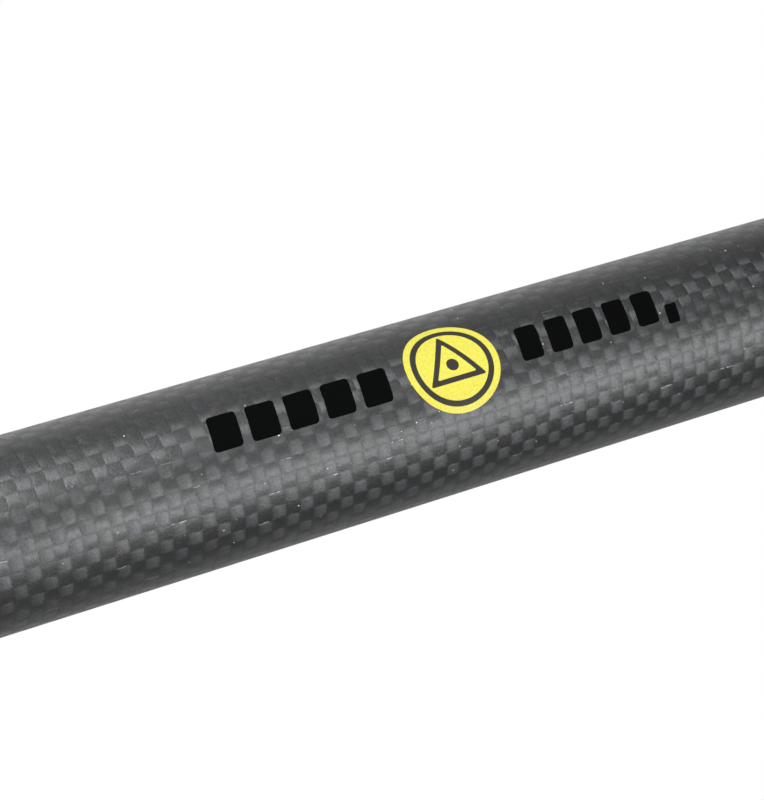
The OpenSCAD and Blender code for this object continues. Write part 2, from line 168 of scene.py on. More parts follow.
def mesh_from(name, bm, smooth_deg=35):
    mesh = bpy.data.meshes.new(name)
    bm.to_mesh(mesh)
    bm.free()
    mesh.polygons.foreach_set("use_smooth", [True] * len(mesh.polygons))
    mesh.set_sharp_from_angle(angle=math.radians(smooth_deg))
    return mesh


def circle(radius, steps=96):
    """Points evenly round a circle about the origin."""
    angles = [2 * math.pi * i / steps for i in range(steps)]
    return [(radius * math.cos(a), radius * math.sin(a)) for a in angles]


def lathe(name, outline, steps, smooth_deg=35):
    """A closed round mesh about Z from a closed outline of (radius, height)."""
    bm = bmesh.new()
    rings = []
    for r, z in outline:
        if r == 0:
            rings.append([bm.verts.new((0, 0, z))] * steps)
        else:
            rings.append([bm.verts.new((x, y, z)) for x, y in circle(r, steps)])
    for k in range(len(rings)):
        a, b = rings[k], rings[(k + 1) % len(rings)]
        for i in range(steps):
            j = (i + 1) % steps
            corners = [a[i], a[j], b[j], b[i]]
            loop = [v for n, v in enumerate(corners) if v not in corners[:n]]
            if len(loop) > 2:
                bm.faces.new(loop)
    bmesh.ops.recalc_face_normals(bm, faces=bm.faces)
    return mesh_from(name, bm, smooth_deg)


FRONT = math.radians(-90)  # the direction of -Y, where prints are centred
SAME_PLACE = 1e-7  # points closer than this are one
WRAP_STEP = 0.5 * MM  # width of the strips that a print is cut into, so that it bends round its tube


def wrapped(name, flat, radius, centre_z):
    """Lays a flat mesh round a tube.

    Its x runs up the tube, its y runs round it, and its z is the height off it.
    """
    bm = bmesh.new()
    bm.from_mesh(flat)
    bmesh.ops.remove_doubles(bm, verts=bm.verts, dist=SAME_PLACE)
    low, high = min(v.co.y for v in bm.verts), max(v.co.y for v in bm.verts)
    for k in range(math.ceil((high - low) / WRAP_STEP)):
        geometry = bm.verts[:] + bm.edges[:] + bm.faces[:]
        cut_at = (0, low + (k + 0.5) * WRAP_STEP, 0)
        bmesh.ops.bisect_plane(bm, geom=geometry, plane_co=cut_at, plane_no=(0, 1, 0))
    bmesh.ops.dissolve_degenerate(bm, edges=bm.edges, dist=SAME_PLACE)
    for v in bm.verts:
        x, y, lift = v.co
        a = FRONT - y / radius
        r = radius + lift
        v.co = (r * math.cos(a), r * math.sin(a), centre_z + x)
    return mesh_from(name, bm)


def flat_shape(outlines, thickness):
    """A flat plate from closed outlines of (x, y). An outline inside another is a hole."""
    curve = bpy.data.curves.new("outline", "CURVE")
    curve.dimensions = "2D"
    curve.fill_mode = "BOTH"
    curve.extrude = thickness / 2
    for points in outlines:
        spline = curve.splines.new("POLY")
        spline.points.add(len(points) - 1)
        for point, (x, y) in zip(spline.points, points):
            point.co = (x, y, 0, 1)
        spline.use_cyclic_u = True
    return curve_mesh(curve, thickness)


def curve_mesh(curve, thickness):
    """The mesh of a flat curve, with its underside at height 0."""
    holder = bpy.data.objects.new("holder", curve)
    mesh = bpy.data.meshes.new_from_object(holder)
    mesh.transform(Matrix.Translation((0, 0, thickness / 2)))
    bpy.data.objects.remove(holder)
    return mesh


def rounded(points, radius, steps=4):
    """A polygon's outline with its corners rounded."""
    out = []
    for i, p in enumerate(points):
        p = Vector(p)
        before = (Vector(points[i - 1]) - p).normalized()
        after = (Vector(points[(i + 1) % len(points)]) - p).normalized()
        for k in range(steps + 1):
            t = k / steps
            out.append(p + before * radius * (1 - t) ** 2 + after * radius * t ** 2)
    return [(p.x, p.y) for p in out]


# ---- materials ----

class Finish:
    """A material with one Principled shader, and short ways to add nodes before it.

    The scale of a noise over the place is in features per metre.
    """

    def __init__(self, name, **sockets):
        self.material = bpy.data.materials.new(name)
        self.material.use_nodes = True
        self.tree = self.material.node_tree
        self.shader = self.tree.nodes["Principled BSDF"]
        self.place = self.tree.nodes.new("ShaderNodeTexCoord").outputs["Object"]
        self.set(**sockets)

    def put(self, socket, value):
        if isinstance(value, bpy.types.NodeSocket):
            self.tree.links.new(value, socket)
        elif socket.type == "RGBA":
            socket.default_value = (*value, 1)
        else:
            socket.default_value = value

    def set(self, **sockets):
        for name, value in sockets.items():
            self.put(self.shader.inputs[name.replace("_", " ")], value)

    def node(self, kind, *values, **settings):
        node = self.tree.nodes.new("ShaderNode" + kind)
        for name, value in settings.items():
            setattr(node, name, value)
        for socket, value in zip(node.inputs, values):
            self.put(socket, value)
        return node

    def math(self, operation, *values):
        return self.node("Math", *values, operation=operation).outputs[0]

    def product(self, first, *rest):
        for value in rest:
            first = self.math("MULTIPLY", first, value)
        return first

    def mix(self, share, a, b, kind="RGBA"):
        node = self.node("Mix", share, data_type=kind)
        first, second, result = {"RGBA": (6, 7, 2), "VECTOR": (4, 5, 1), "FLOAT": (2, 3, 0)}[kind]
        self.put(node.inputs[first], a)
        self.put(node.inputs[second], b)
        return node.outputs[result]

    def between(self, value, low, high, to_low=0.0, to_high=1.0):
        return self.node("MapRange", value, low, high, to_low, to_high).outputs[0]

    def vector(self, x, y, z):
        return self.node("CombineXYZ", x, y, z).outputs[0]

    def axes(self):
        return self.node("SeparateXYZ", self.place).outputs

    def scaled(self, vector, factor):
        node = self.node("VectorMath", vector, operation="SCALE")
        self.put(node.inputs["Scale"], factor)
        return node.outputs[0]

    def noise(self, place, scale, detail=2.0, rough=0.5):
        node = self.node("TexNoise")
        for name, value in {"Vector": place, "Scale": scale, "Detail": detail, "Roughness": rough}.items():
            self.put(node.inputs[name], value)
        return node.outputs[0]

    def white_noise(self, place):
        return self.node("TexWhiteNoise", place).outputs["Value"]

    def noise_axes(self, scale):
        """Three separate noises, one for each axis."""
        node = self.node("TexNoise")
        self.put(node.inputs["Vector"], self.place)
        self.put(node.inputs["Scale"], scale)
        return self.node("SeparateXYZ", node.outputs["Color"]).outputs

    def cells(self, scale, place=None):
        node = self.node("TexVoronoi")
        self.put(node.inputs["Vector"], place or self.place)
        self.put(node.inputs["Scale"], scale)
        return node

    def bumped(self, height, distance, strength=1.0):
        node = self.node("Bump")
        for name, value in {"Height": height, "Distance": distance, "Strength": strength}.items():
            self.put(node.inputs[name], value)
        return node.outputs["Normal"]

    def worn_edges(self, radius, color, worn, share):
        """The colour with its outside edges rubbed towards another colour, here more and there less."""
        rounded_normal = self.node("Bevel", radius, samples=4).outputs[0]
        flat_normal = self.node("NewGeometry").outputs["Normal"]
        turn = self.node("VectorMath", rounded_normal, flat_normal, operation="DOT_PRODUCT").outputs["Value"]
        edge = self.between(turn, 0.97, 0.80)
        patchy = self.between(self.noise(self.place, 260.0, 4.0, 0.65), 0.42, 0.62)
        return self.mix(self.product(edge, patchy, share), color, worn)


TOW = 2.56 * MM  # width of a tow of the plain weave
CRIMP_UP, CRIMP_ROUND = 0.08, 0.075  # how far tows up the tube and round it rise between crossings, in mm
GRIT = 0.03  # how far single fibres stand out, in mm
WANDER = 0.22  # how far a tow strays over some centimetres, in tow widths
RAGGED = 0.16  # how far its edges stray over a millimetre or two, in tow widths
FRAY = 0.45  # how far loose fibres stray over its edges, in tow widths


class Weave:
    """A plain weave round a tube. Columns of tows run up the tube, and rows of them run round it."""

    def __init__(self, f, tows_round):
        self.f = f
        x, y, z = f.axes()
        wander = f.between(f.noise(f.place, 38.0), 0.0, 1.0, -WANDER, WANDER)
        ragged = f.noise_axes(620.0)
        round_tube = f.math("MULTIPLY", f.math("ARCTAN2", y, x), tows_round / math.tau)
        up_tube = f.math("DIVIDE", z, TOW)
        self.across = f.math("MULTIPLY_ADD", ragged[0], RAGGED, f.math("ADD", round_tube, wander))
        self.along = f.math("MULTIPLY_ADD", ragged[1], RAGGED, f.math("ADD", up_tube, wander))
        self.in_column = f.math("FRACT", self.across)
        self.in_row = f.math("FRACT", self.along)
        frayed = f.noise_axes(4500.0)
        self.column = self.number(self.across, frayed[0])
        self.row = self.number(self.along, frayed[1])
        self.upright = f.math("FLOORED_MODULO", f.math("ADD", self.column, self.row), 2.0)

    def number(self, place, frayed):
        """The number of the row or column at a place, mixed up a little at the edges."""
        stray = self.f.math("SUBTRACT", frayed, 0.5)
        return self.f.math("FLOOR", self.f.math("MULTIPLY_ADD", stray, FRAY, place))

    def random(self, seed):
        """A random number for each cell."""
        return self.f.white_noise(self.f.vector(self.column, self.row, seed))

    def crown(self, run, side):
        """How far a tow stands out, from the place along its run and the place across it."""
        over = self.f.math("SINE", self.f.math("MULTIPLY", run, math.pi))
        from_middle = self.f.math("ABSOLUTE", self.f.between(side, 0.0, 1.0, -1.0, 1.0))
        rim = self.f.math("POWER", from_middle, 4.0)
        return self.f.math("MULTIPLY", over, self.f.math("SUBTRACT", 1.0, rim))

    def height(self):
        """How far the tow on top stands out, from 0 to 1."""
        crown_up = self.crown(self.in_row, self.in_column)
        crown_round = self.crown(self.in_column, self.in_row)
        return self.f.mix(self.upright, crown_round, crown_up, "FLOAT")

    def fibres(self):
        """Noise in streaks along the tow on top."""
        streaks = []
        for over_columns, over_rows, seed in ((0.7, 14.0, 3.0), (14.0, 0.7, 0.0)):
            columns = self.f.math("MULTIPLY", self.across, over_columns)
            rows = self.f.math("MULTIPLY", self.along, over_rows)
            streaks.append(self.f.noise(self.f.vector(columns, rows, seed), 1.0, 3.0, 0.7))
        return self.f.mix(self.upright, *streaks, "FLOAT")


def tow_tone_and_painted_shade(f, weave, height):
    """What the colour of the tow on top is multiplied by: random tone and grain, and painted shade where the
    tow dips under another.
    """
    # painted shade: the colour is darkened towards the ends and edges of each tow, where it dips under the
    # next
    dip_painted_shade = f.between(weave.upright, 0.0, 1.0, 0.85, 0.55)  # the shade where a tow dips under another
    return f.product(
        f.between(weave.random(0.0), 0.0, 1.0, 0.9, 1.1),
        f.between(weave.fibres(), 0.2, 0.8, 0.8, 1.2),
        f.between(height, 0.0, 0.5, dip_painted_shade, 1.0),
        f.between(f.noise(f.place, 70.0, 3.0), 0.3, 0.7, 0.88, 1.12),
        f.between(f.noise(f.place, 2800.0), 0.3, 0.7, 0.76, 1.24),
    )


def painted_glint_dots(f):
    """A few pale dots, uneven in shape and brightness: painted glints of small pits in the clear coat."""
    shift = f.noise_axes(3000.0)
    shifted = [f.math("MULTIPLY_ADD", moved, 0.3 * MM, place) for moved, place in zip(shift, f.axes())]
    cell = f.cells(900.0, f.vector(*shifted))
    rare = f.between(f.white_noise(cell.outputs["Position"]), 0.88, 1.0)
    return f.math("MULTIPLY", rare, f.math("LESS_THAN", cell.outputs["Distance"], 0.10))


def bared_fibres(f, weave):
    """Short broken lines up the tube at the edges of a few tows."""
    from_line = f.math("ABSOLUTE", f.math("SUBTRACT", weave.in_column, 0.06))
    on_line = f.math("LESS_THAN", from_line, 0.035)
    few = f.math("GREATER_THAN", weave.random(7.0), 0.94)
    broken = f.math("GREATER_THAN", f.noise(f.place, 900.0), 0.5)
    return f.product(on_line, few, broken)


def carbon(name, radius, tows_round):
    """Plain-weave carbon under a satin clear coat. Fibres gleam to the sides of their run, not along it. Its
    colour carries painted shade where tows dip, and painted glints.
    """
    f = Finish(name, Roughness=0.46, Anisotropic=0.86, Coat_Weight=1.0, Coat_Roughness=0.40, Coat_IOR=1.7)
    weave = Weave(f, tows_round)
    height = weave.height()
    # pale dots painted into the colour as glints
    dot = painted_glint_dots(f)
    bared = bared_fibres(f, weave)
    hue = weave.random(3.0)
    color_round = f.mix(hue, (0.066, 0.069, 0.069), (0.064, 0.068, 0.073))
    color_up = f.mix(hue, (0.078, 0.081, 0.080), (0.075, 0.080, 0.086))
    # the tow's colour carries painted shade where tows dip under each other
    tow = f.scaled(f.mix(weave.upright, color_round, color_up), tow_tone_and_painted_shade(f, weave, height))
    fibre = f.mix(bared, tow, (0.28, 0.28, 0.28))
    # where dot is set the colour is a pale, non-metallic white: painted glints
    f.set(Base_Color=f.mix(dot, fibre, (0.85, 0.85, 0.85)), Metallic=f.math("SUBTRACT", 1.0, dot))

    x, y, z = f.axes()
    round_way = f.vector(f.math("MULTIPLY", y, -1 / radius), f.math("MULTIPLY", x, 1 / radius), 0.0)
    fibre_up = f.math("MAXIMUM", weave.upright, bared)
    f.set(Tangent=f.mix(fibre_up, (0.0, 0.0, 1.0), round_way, "VECTOR"))

    crimp = f.math("MULTIPLY", height, f.between(weave.upright, 0.0, 1.0, CRIMP_ROUND, CRIMP_UP))
    grit = f.noise(f.place, 3000.0, 3.0, 0.6)
    f.set(Normal=f.bumped(f.math("MULTIPLY_ADD", grit, GRIT, crimp), MM))
    f.set(Coat_Normal=f.bumped(f.noise(f.place, 3400.0, 3.0, 0.65), 0.10 * MM))
    return f.material


def ink(name, color, rough, gloss):
    """Screen print: a thin film with a fine grain."""
    f = Finish(name, Roughness=rough, Specular_IOR_Level=gloss)
    grain = f.noise(f.place, 2500.0, 3.0)
    f.set(Base_Color=f.mix(f.between(grain, 0.35, 0.65), tuple(c * 0.85 for c in color), color))
    f.set(Normal=f.bumped(grain, 0.01 * MM))
    return f.material


def turned(name, color, rough, tool_pitch, stain):
    """Bare metal off the lathe, with fine tool marks round the pole's axis and stains that darken it."""
    f = Finish(name, Metallic=1.0, Anisotropic=0.5)
    x, y, z = f.axes()
    from_axis = f.math("SQRT", f.math("ADD", f.math("MULTIPLY", x, x), f.math("MULTIPLY", y, y)))
    outwards, upwards = (f.math("DIVIDE", way, tool_pitch) for way in (from_axis, z))
    marks = f.noise(f.vector(outwards, upwards, 0.0), 1.0, 3.0, 0.7)
    blotch = f.noise(f.place, 190.0, 5.0, 0.6)
    tone = f.product(f.between(marks, 0.3, 0.7, 0.88, 1.0), f.between(blotch, 0.35, 0.7, stain, 1.0))
    f.set(Base_Color=f.scaled(color, tone))
    f.set(Roughness=f.between(blotch, 0.3, 0.75, rough * 0.8, rough * 1.35))
    f.set(Normal=f.bumped(marks, 0.012 * MM))
    return f.material


def anodised():
    """Bead-blasted aluminium, anodised black, rubbed bright here and there along its edges."""
    f = Finish("anodised_black", Metallic=0.85)
    blast = f.noise(f.place, 5200.0, 3.0, 0.65)
    scuff = f.noise(f.place, 120.0, 6.0, 0.7)
    body = f.mix(f.between(scuff, 0.45, 0.75), (0.030, 0.031, 0.034), (0.052, 0.053, 0.056))
    f.set(Base_Color=f.worn_edges(0.35 * MM, body, (0.42, 0.42, 0.43), 0.55))
    f.set(Roughness=f.between(scuff, 0.3, 0.8, 0.36, 0.56))
    f.set(Normal=f.bumped(blast, 0.012 * MM))
    return f.material


def moulded(name, color, rough, grain_scale, grain_depth, dust):
    """Moulded plastic or rubber, with a fine mould texture, cloudy gloss and dust in the grain."""
    f = Finish(name, Specular_IOR_Level=0.4)
    grain = f.noise(f.place, grain_scale, 4.0, 0.6)
    cloud = f.noise(f.place, 85.0, 4.0, 0.6)
    pale = tuple(min(1.0, c * dust + 0.004) for c in color)
    dusty = f.product(f.between(grain, 0.35, 0.7), f.between(cloud, 0.3, 0.75))
    f.set(Base_Color=f.mix(dusty, color, pale))
    f.set(Roughness=f.between(cloud, 0.3, 0.7, rough * 0.85, min(1.0, rough * 1.12)))
    f.set(Normal=f.bumped(grain, grain_depth))
    return f.material


def foam():
    """Closed-cell foam: small open pores in a dull black skin, with painted shade in the pores."""
    f = Finish("foam_black", Roughness=0.92, Specular_IOR_Level=0.25, Sheen_Weight=0.15, Sheen_Roughness=0.6)
    pores = f.between(f.cells(1500.0).outputs["Distance"], 0.10, 0.45)
    coarse = f.between(f.cells(620.0).outputs["Distance"], 0.05, 0.35)
    skin = f.math("MULTIPLY", pores, coarse)
    cloud = f.noise(f.place, 55.0, 4.0, 0.6)
    skin_color = f.mix(f.between(cloud, 0.35, 0.7), (0.013, 0.013, 0.014), (0.023, 0.023, 0.024))
    # the pores, where skin is near 0, get a near-black colour: painted shade in the hollows
    f.set(Base_Color=f.mix(skin, (0.006, 0.006, 0.006), skin_color))
    f.set(Normal=f.bumped(skin, 0.11 * MM, 0.8))
    return f.material


def brass():
    """Plain brass, tarnished here and there."""
    f = Finish("brass_plain", Metallic=1.0, Anisotropic=0.3)
    brushed = f.noise(f.place, 3800.0, 3.0, 0.7)
    tarnish = f.noise(f.place, 240.0, 5.0, 0.65)
    f.set(Base_Color=f.mix(f.between(tarnish, 0.4, 0.7), (0.80, 0.60, 0.27), (0.55, 0.38, 0.16)))
    f.set(Roughness=f.between(tarnish, 0.3, 0.7, 0.22, 0.42))
    f.set(Normal=f.bumped(brushed, 0.008 * MM))
    return f.material


def clear(name, color, ior):
    """Clear plastic or spirit: hardly visible flow marks and a varying tint."""
    f = Finish(name, Transmission_Weight=1.0, IOR=ior)
    flow = f.noise(f.place, 160.0, 3.0)
    f.set(Base_Color=f.mix(f.between(flow, 0.3, 0.7), color, tuple(c * 0.94 for c in color)))
    f.set(Roughness=f.between(flow, 0.3, 0.7, 0.03, 0.06))
    f.set(Normal=f.bumped(flow, 0.01 * MM, 0.4))
    return f.material


def vial_disc_print():
    """The pale disc under the spirit, printed with a faint speckle."""
    f = Finish("vial_disc_print", Roughness=0.6)
    speckle = f.noise(f.place, 3000.0, 2.0)
    f.set(Base_Color=f.mix(f.between(speckle, 0.4, 0.6), (0.92, 0.95, 0.66), (0.96, 0.98, 0.74)))
    f.set(Normal=f.bumped(speckle, 0.01 * MM))
    return f.material


OUTER_TOWS, INNER_TOWS = 40, 32  # tows of the weave round each tube

finishes = {
    "carbon": carbon("carbon_outer", TUBE_R, OUTER_TOWS),
    "hard_steel": turned("hardened_steel", (0.50, 0.50, 0.51), rough=0.30, tool_pitch=0.10 * MM, stain=0.62),
    "stainless": turned("stainless", (0.64, 0.64, 0.65), rough=0.24, tool_pitch=0.07 * MM, stain=0.85),
    "black_anodised": anodised(),
    "foam": foam(),
    "rubber": moulded("rubber_black", (0.020, 0.020, 0.020), 0.78, 2600.0, 0.03 * MM, dust=1.6),
    "yellow": moulded("plastic_yellow", (0.64, 0.52, 0.025), 0.42, 3400.0, 0.012 * MM, dust=0.9),
    "lever": moulded("nylon_black", (0.026, 0.026, 0.027), 0.52, 1900.0, 0.035 * MM, dust=1.5),
    "acetal": moulded("acetal", (0.74, 0.74, 0.71), 0.38, 1500.0, 0.010 * MM, dust=1.06),
    "brass": brass(),
    "vial_back": vial_disc_print(),
    "spirit": clear("spirit", (0.97, 1.0, 0.72), ior=1.36),
    "lens": clear("lens_acrylic", (0.97, 0.99, 0.99), ior=1.49),
    "bezel": moulded("bezel_black", (0.014, 0.014, 0.014), 0.34, 2800.0, 0.008 * MM, dust=1.3),
}


# ---- pieces that stay as they are in CAD: rounded edges and the finishes above ----

def refine(node, width):
    """Rounds the edges of a CAD piece and gives it even shading, with modifiers only."""
    node.modifiers.new("joined", "WELD").merge_threshold = 1e-6
    planar = node.modifiers.new("planar", "DECIMATE")
    planar.decimate_type = "DISSOLVE"
    planar.angle_limit = math.radians(0.5)
    edges = node.modifiers.new("edges", "BEVEL")
    edges.width = width
    edges.segments = 2
    edges.limit_method = "ANGLE"
    edges.angle_limit = math.radians(32)
    node.modifiers.new("shading", "WEIGHTED_NORMAL")


EDGE = 0.15 * MM  # width of a rounded edge, where EDGES has no other
EDGES = {
    "lock_lever": 1.0 * MM,
    "grip_ring_lower": 0.5 * MM,
    "grip_ring_upper": 0.5 * MM,
    "bottom_bumper": 0.5 * MM,
    "level_bracket": 0.4 * MM,
    "lock_collar": 0.35 * MM,
    "foot_shoe": 0.3 * MM,
    "pole_head": 0.3 * MM,
    "level_thumb_screw": 0.08 * MM,
}
REPLACED = {"outer_tube", "inner_tube", "stop_sleeve", "grip_foam", "head_stud", "vial_fluid", "vial_lens"}
for name, node in nodes.items():
    slot_name = node.material_slots[0].material.name
    node.material_slots[0].material = finishes[slot_name]
    if name not in REPLACED:
        refine(node, EDGES.get(name, EDGE))


# ---- tubes ----

def tube_outline(outer, inner, low, high, extra_rings=(), edge=0.25 * MM):
    """A tube's section with small chamfers. The extra rings are heights where its walls are divided."""
    outside = [(outer, z) for z in (low + edge, *extra_rings, high - edge)]
    inside = [(inner, z) for z in (high - edge, *reversed(extra_rings), low + edge)]
    foot = [(inner + edge, low), (outer - edge, low)]
    top = [(outer - edge, high), (inner + edge, high)]
    return [*foot, *outside, *top, *inside]


def rod(radius, length, z):
    """A closed rod along X, centred on the axis at a height."""
    bm = bmesh.new()
    bmesh.ops.create_cone(
        bm, cap_ends=True, segments=32, radius1=radius, radius2=radius, depth=length,
        matrix=Matrix.Translation((0, 0, z)) @ Matrix.Rotation(math.pi / 2, 4, "Y"))
    return mesh_from("rod", bm)


def drilled(mesh, cutter):
    """The mesh with a cutter's shape taken away."""
    holder = bpy.data.objects.new("holder", mesh)
    tool = bpy.data.objects.new("tool", cutter)
    for thing in (holder, tool):
        bpy.context.scene.collection.objects.link(thing)
    cut = holder.modifiers.new("cut", "BOOLEAN")
    cut.operation = "DIFFERENCE"
    cut.object = tool
    bpy.context.view_layer.update()
    done = bpy.data.meshes.new_from_object(holder.evaluated_get(bpy.context.evaluated_depsgraph_get()))
    done.name = mesh.name
    for thing in (holder, tool):
        bpy.data.objects.remove(thing)
    return done


RIVET_R = 1.6 * MM  # radius of the holes for the rivets


def heights(node_name):
    """The lowest and highest z of a CAD node."""
    low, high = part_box(node_name)
    return low.z, high.z


def tube(node_name, outer, rivets):
    """A fine tube in a CAD tube's place, drilled through along X for a node of rivets."""
    rivets_at = sum(heights(rivets)) / 2
    beside_rivets = (rivets_at - 3 * RIVET_R, rivets_at + 3 * RIVET_R)
    outline = tube_outline(outer, outer - WALL, *heights(node_name), beside_rivets)
    whole = lathe(node_name + "_woven", outline, 256)
    return drilled(whole, rod(RIVET_R, outer * 3, rivets_at))


new_piece("outer_tube_woven", tube("outer_tube", TUBE_R, "shoe_rivets"), finishes["carbon"],
          "lower_section", ["outer_tube"])
inner_carbon = carbon("carbon_inner", INNER_R, INNER_TOWS)
new_piece("inner_tube_woven", tube("inner_tube", INNER_R, "head_rivets"), inner_carbon,
          "inner_section", ["inner_tube"])

STOP_OUTER, STOP_INNER = 14.45 * MM, 12.9 * MM  # radii of the sleeve that stops the inner section
stop_outline = tube_outline(STOP_OUTER, STOP_INNER, *heights("stop_sleeve"))
new_piece("stop_sleeve_turned", lathe("stop_sleeve_turned", stop_outline, 160), finishes["acetal"],
          "lower_section", ["stop_sleeve"])


# ---- foam grip ----

GRIP_INNER, GRIP_OUTER = 16.05 * MM, 20.5 * MM
GRIP_CROWN = 5 * MM  # length over which each end rounds off
GRIP_LIP = 1.6 * MM  # thickness of the foam at its very ends
GROOVES, GROOVE_DEPTH = 8, 0.35 * MM
DENT = 0.10 * MM  # how far the skin is uneven


def grip_mesh(low, high):
    """A foam sleeve: crowned ends, shallow finger grooves and a slightly uneven skin."""
    rows = 180
    outline = [(GRIP_INNER, high), (GRIP_INNER, low)]
    lip_r = GRIP_INNER + GRIP_LIP
    for k in range(rows + 1):
        z = low + (high - low) * k / rows
        from_end = min(1, min(z - low, high - z) / GRIP_CROWN)
        crown = math.sqrt(max(0.0, 1 - (1 - from_end) ** 2))
        groove = GROOVE_DEPTH * (0.5 - 0.5 * math.cos(2 * math.pi * GROOVES * k / rows)) * from_end
        outline.append((lip_r + (GRIP_OUTER - lip_r) * crown - groove, z))
    mesh = lathe("grip_foam_sleeve", outline, 160, smooth_deg=60)
    for v in mesh.vertices:
        away = Vector((v.co.x, v.co.y, 0))
        if away.length > GRIP_INNER + 1 * MM:
            dent = noise.noise(v.co * 90) + 0.5 * noise.noise(v.co * 260)
            v.co -= away.normalized() * DENT * (1 + dent)
    return mesh


grip = new_piece("grip_foam_sleeve", grip_mesh(*heights("grip_foam")), finishes["foam"],
                 "lower_section", ["grip_foam"])


# ---- mounting stud with its thread ----

STUD_R = 7.94 * MM  # 5/8 inch across
STUD_PITCH = 25.4 * MM / 11  # 11 threads to the inch
THREAD_DEPTH = 0.61 * STUD_PITCH
NECK_R, NECK_LENGTH = 6.9 * MM, 0.6 * MM  # the plain part under the thread
STUD_CHAMFER = 1.5 * MM


def thread_radius(share):
    """The thread's radius at a share of a turn: a flat crest, two straight flanks and a flat root."""
    from_crest = abs(share * 2 - 1)
    return STUD_R - THREAD_DEPTH * min(1, max(0, from_crest * 1.3 - 0.15))


def stud_mesh(low, high, thread_from):
    """A closed rod with a plain neck, a thread and a chamfered end. Its rows follow the helix."""
    steps, per_turn = 96, 16
    rows = math.ceil((high - low) / STUD_PITCH + 1) * per_turn
    bm = bmesh.new()
    grid = []
    for k in range(rows + 1):
        line = []
        for i in range(steps + 1):
            turn = i / steps
            z = min(max(low + STUD_PITCH * (k / per_turn + turn - 1), low), high)
            r = NECK_R if z < thread_from else thread_radius((k / per_turn) % 1)
            r = min(r, STUD_R - max(0, STUD_CHAMFER - (high - z)))
            line.append(bm.verts.new((r * math.cos(math.tau * turn), r * math.sin(math.tau * turn), z)))
        grid.append(line)
    for a, b in zip(grid, grid[1:]):
        for i in range(steps):
            bm.faces.new((a[i], a[i + 1], b[i + 1], b[i]))
    bmesh.ops.remove_doubles(bm, verts=bm.verts, dist=1e-6)
    bmesh.ops.holes_fill(bm, edges=[e for e in bm.edges if e.is_boundary], sides=0)
    bmesh.ops.recalc_face_normals(bm, faces=bm.faces)
    return mesh_from("head_stud_threaded", bm, smooth_deg=20)


seat_z = heights("pole_head")[1]
new_piece("head_stud_threaded", stud_mesh(*heights("head_stud"), seat_z + NECK_LENGTH), finishes["stainless"],
          "inner_section", ["head_stud"])


# ---- circular level ----

def joined_inside_out(outside, inside):
    """One mesh from a body and a hollow in it, whose faces are turned over."""
    bm = bmesh.new()
    bm.from_mesh(inside)
    bmesh.ops.reverse_faces(bm, faces=bm.faces)
    bm.from_mesh(outside)
    mesh = bpy.data.meshes.new(outside.name)
    bm.to_mesh(mesh)
    bm.free()
    return mesh


VIAL_R = 9.5 * MM
DOME = 0.7 * MM  # how far the lens's underside rises in the middle
LENS_EDGE = 0.3 * MM  # width of its chamfer
LENS_GAP = 0.03 * MM  # between the lens and the spirit
BUBBLE_R, BUBBLE_DEPTH = 2.7 * MM, 1.5 * MM
RING_RADII, RING_WIDTH = (3.6 * MM, 5.6 * MM), 0.35 * MM
RING_THICK, RING_LIFT = 0.06 * MM, 0.04 * MM  # the lift is its height off the disc

vial_y = sum(corner.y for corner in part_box("vial_lens")) / 2
lens_low, lens_high = heights("vial_lens")
disc_top = heights("vial_backing")[1]


def dome(gap=0.0, points=12):
    """Points along the underside of the lens, from its rim to its middle."""
    out = []
    for k in range(points + 1):
        r = VIAL_R * (1 - k / points)
        out.append((r, lens_low + DOME * (1 - (r / VIAL_R) ** 2) + gap))
    return out


def bubble_outline(points=24):
    """Half of an oval that hangs from the middle of the lens."""
    top = lens_low + DOME
    angles = [math.pi * k / points for k in range(points)]
    curve = [(BUBBLE_R * math.sin(a), top - BUBBLE_DEPTH / 2 * (1 - math.cos(a))) for a in angles]
    return [*curve, (0, top - BUBBLE_DEPTH)]


def at_vial(mesh):
    mesh.transform(Matrix.Translation((0, vial_y, 0)))
    return mesh


lens_outline = [(0, lens_high), (VIAL_R - LENS_EDGE, lens_high), (VIAL_R, lens_high - LENS_EDGE), *dome()]
new_piece("vial_lens_domed", at_vial(lathe("vial_lens_domed", lens_outline, 96)), finishes["lens"],
          "level", ["vial_lens"])

fluid_low = disc_top - 0.1 * MM  # it wets the disc under it
spirit_outline = [(0, fluid_low), (VIAL_R, fluid_low), *dome(LENS_GAP)]
bubble = lathe("bubble", bubble_outline(), 64, smooth_deg=80)
spirit_mesh = joined_inside_out(lathe("vial_spirit", spirit_outline, 96), bubble)
new_piece("vial_spirit", at_vial(spirit_mesh), finishes["spirit"], "level", ["vial_fluid"])

for index, inner in enumerate(RING_RADII):
    outer, low = inner + RING_WIDTH, disc_top + RING_LIFT
    ring_outline = [(inner, low), (outer, low), (outer, low + RING_THICK), (inner, low + RING_THICK)]
    ring_name = f"vial_ring_{index + 1}"
    new_piece(ring_name, at_vial(lathe(ring_name, ring_outline, 96)), finishes["bezel"], "level")


# ---- print on the outer tube ----

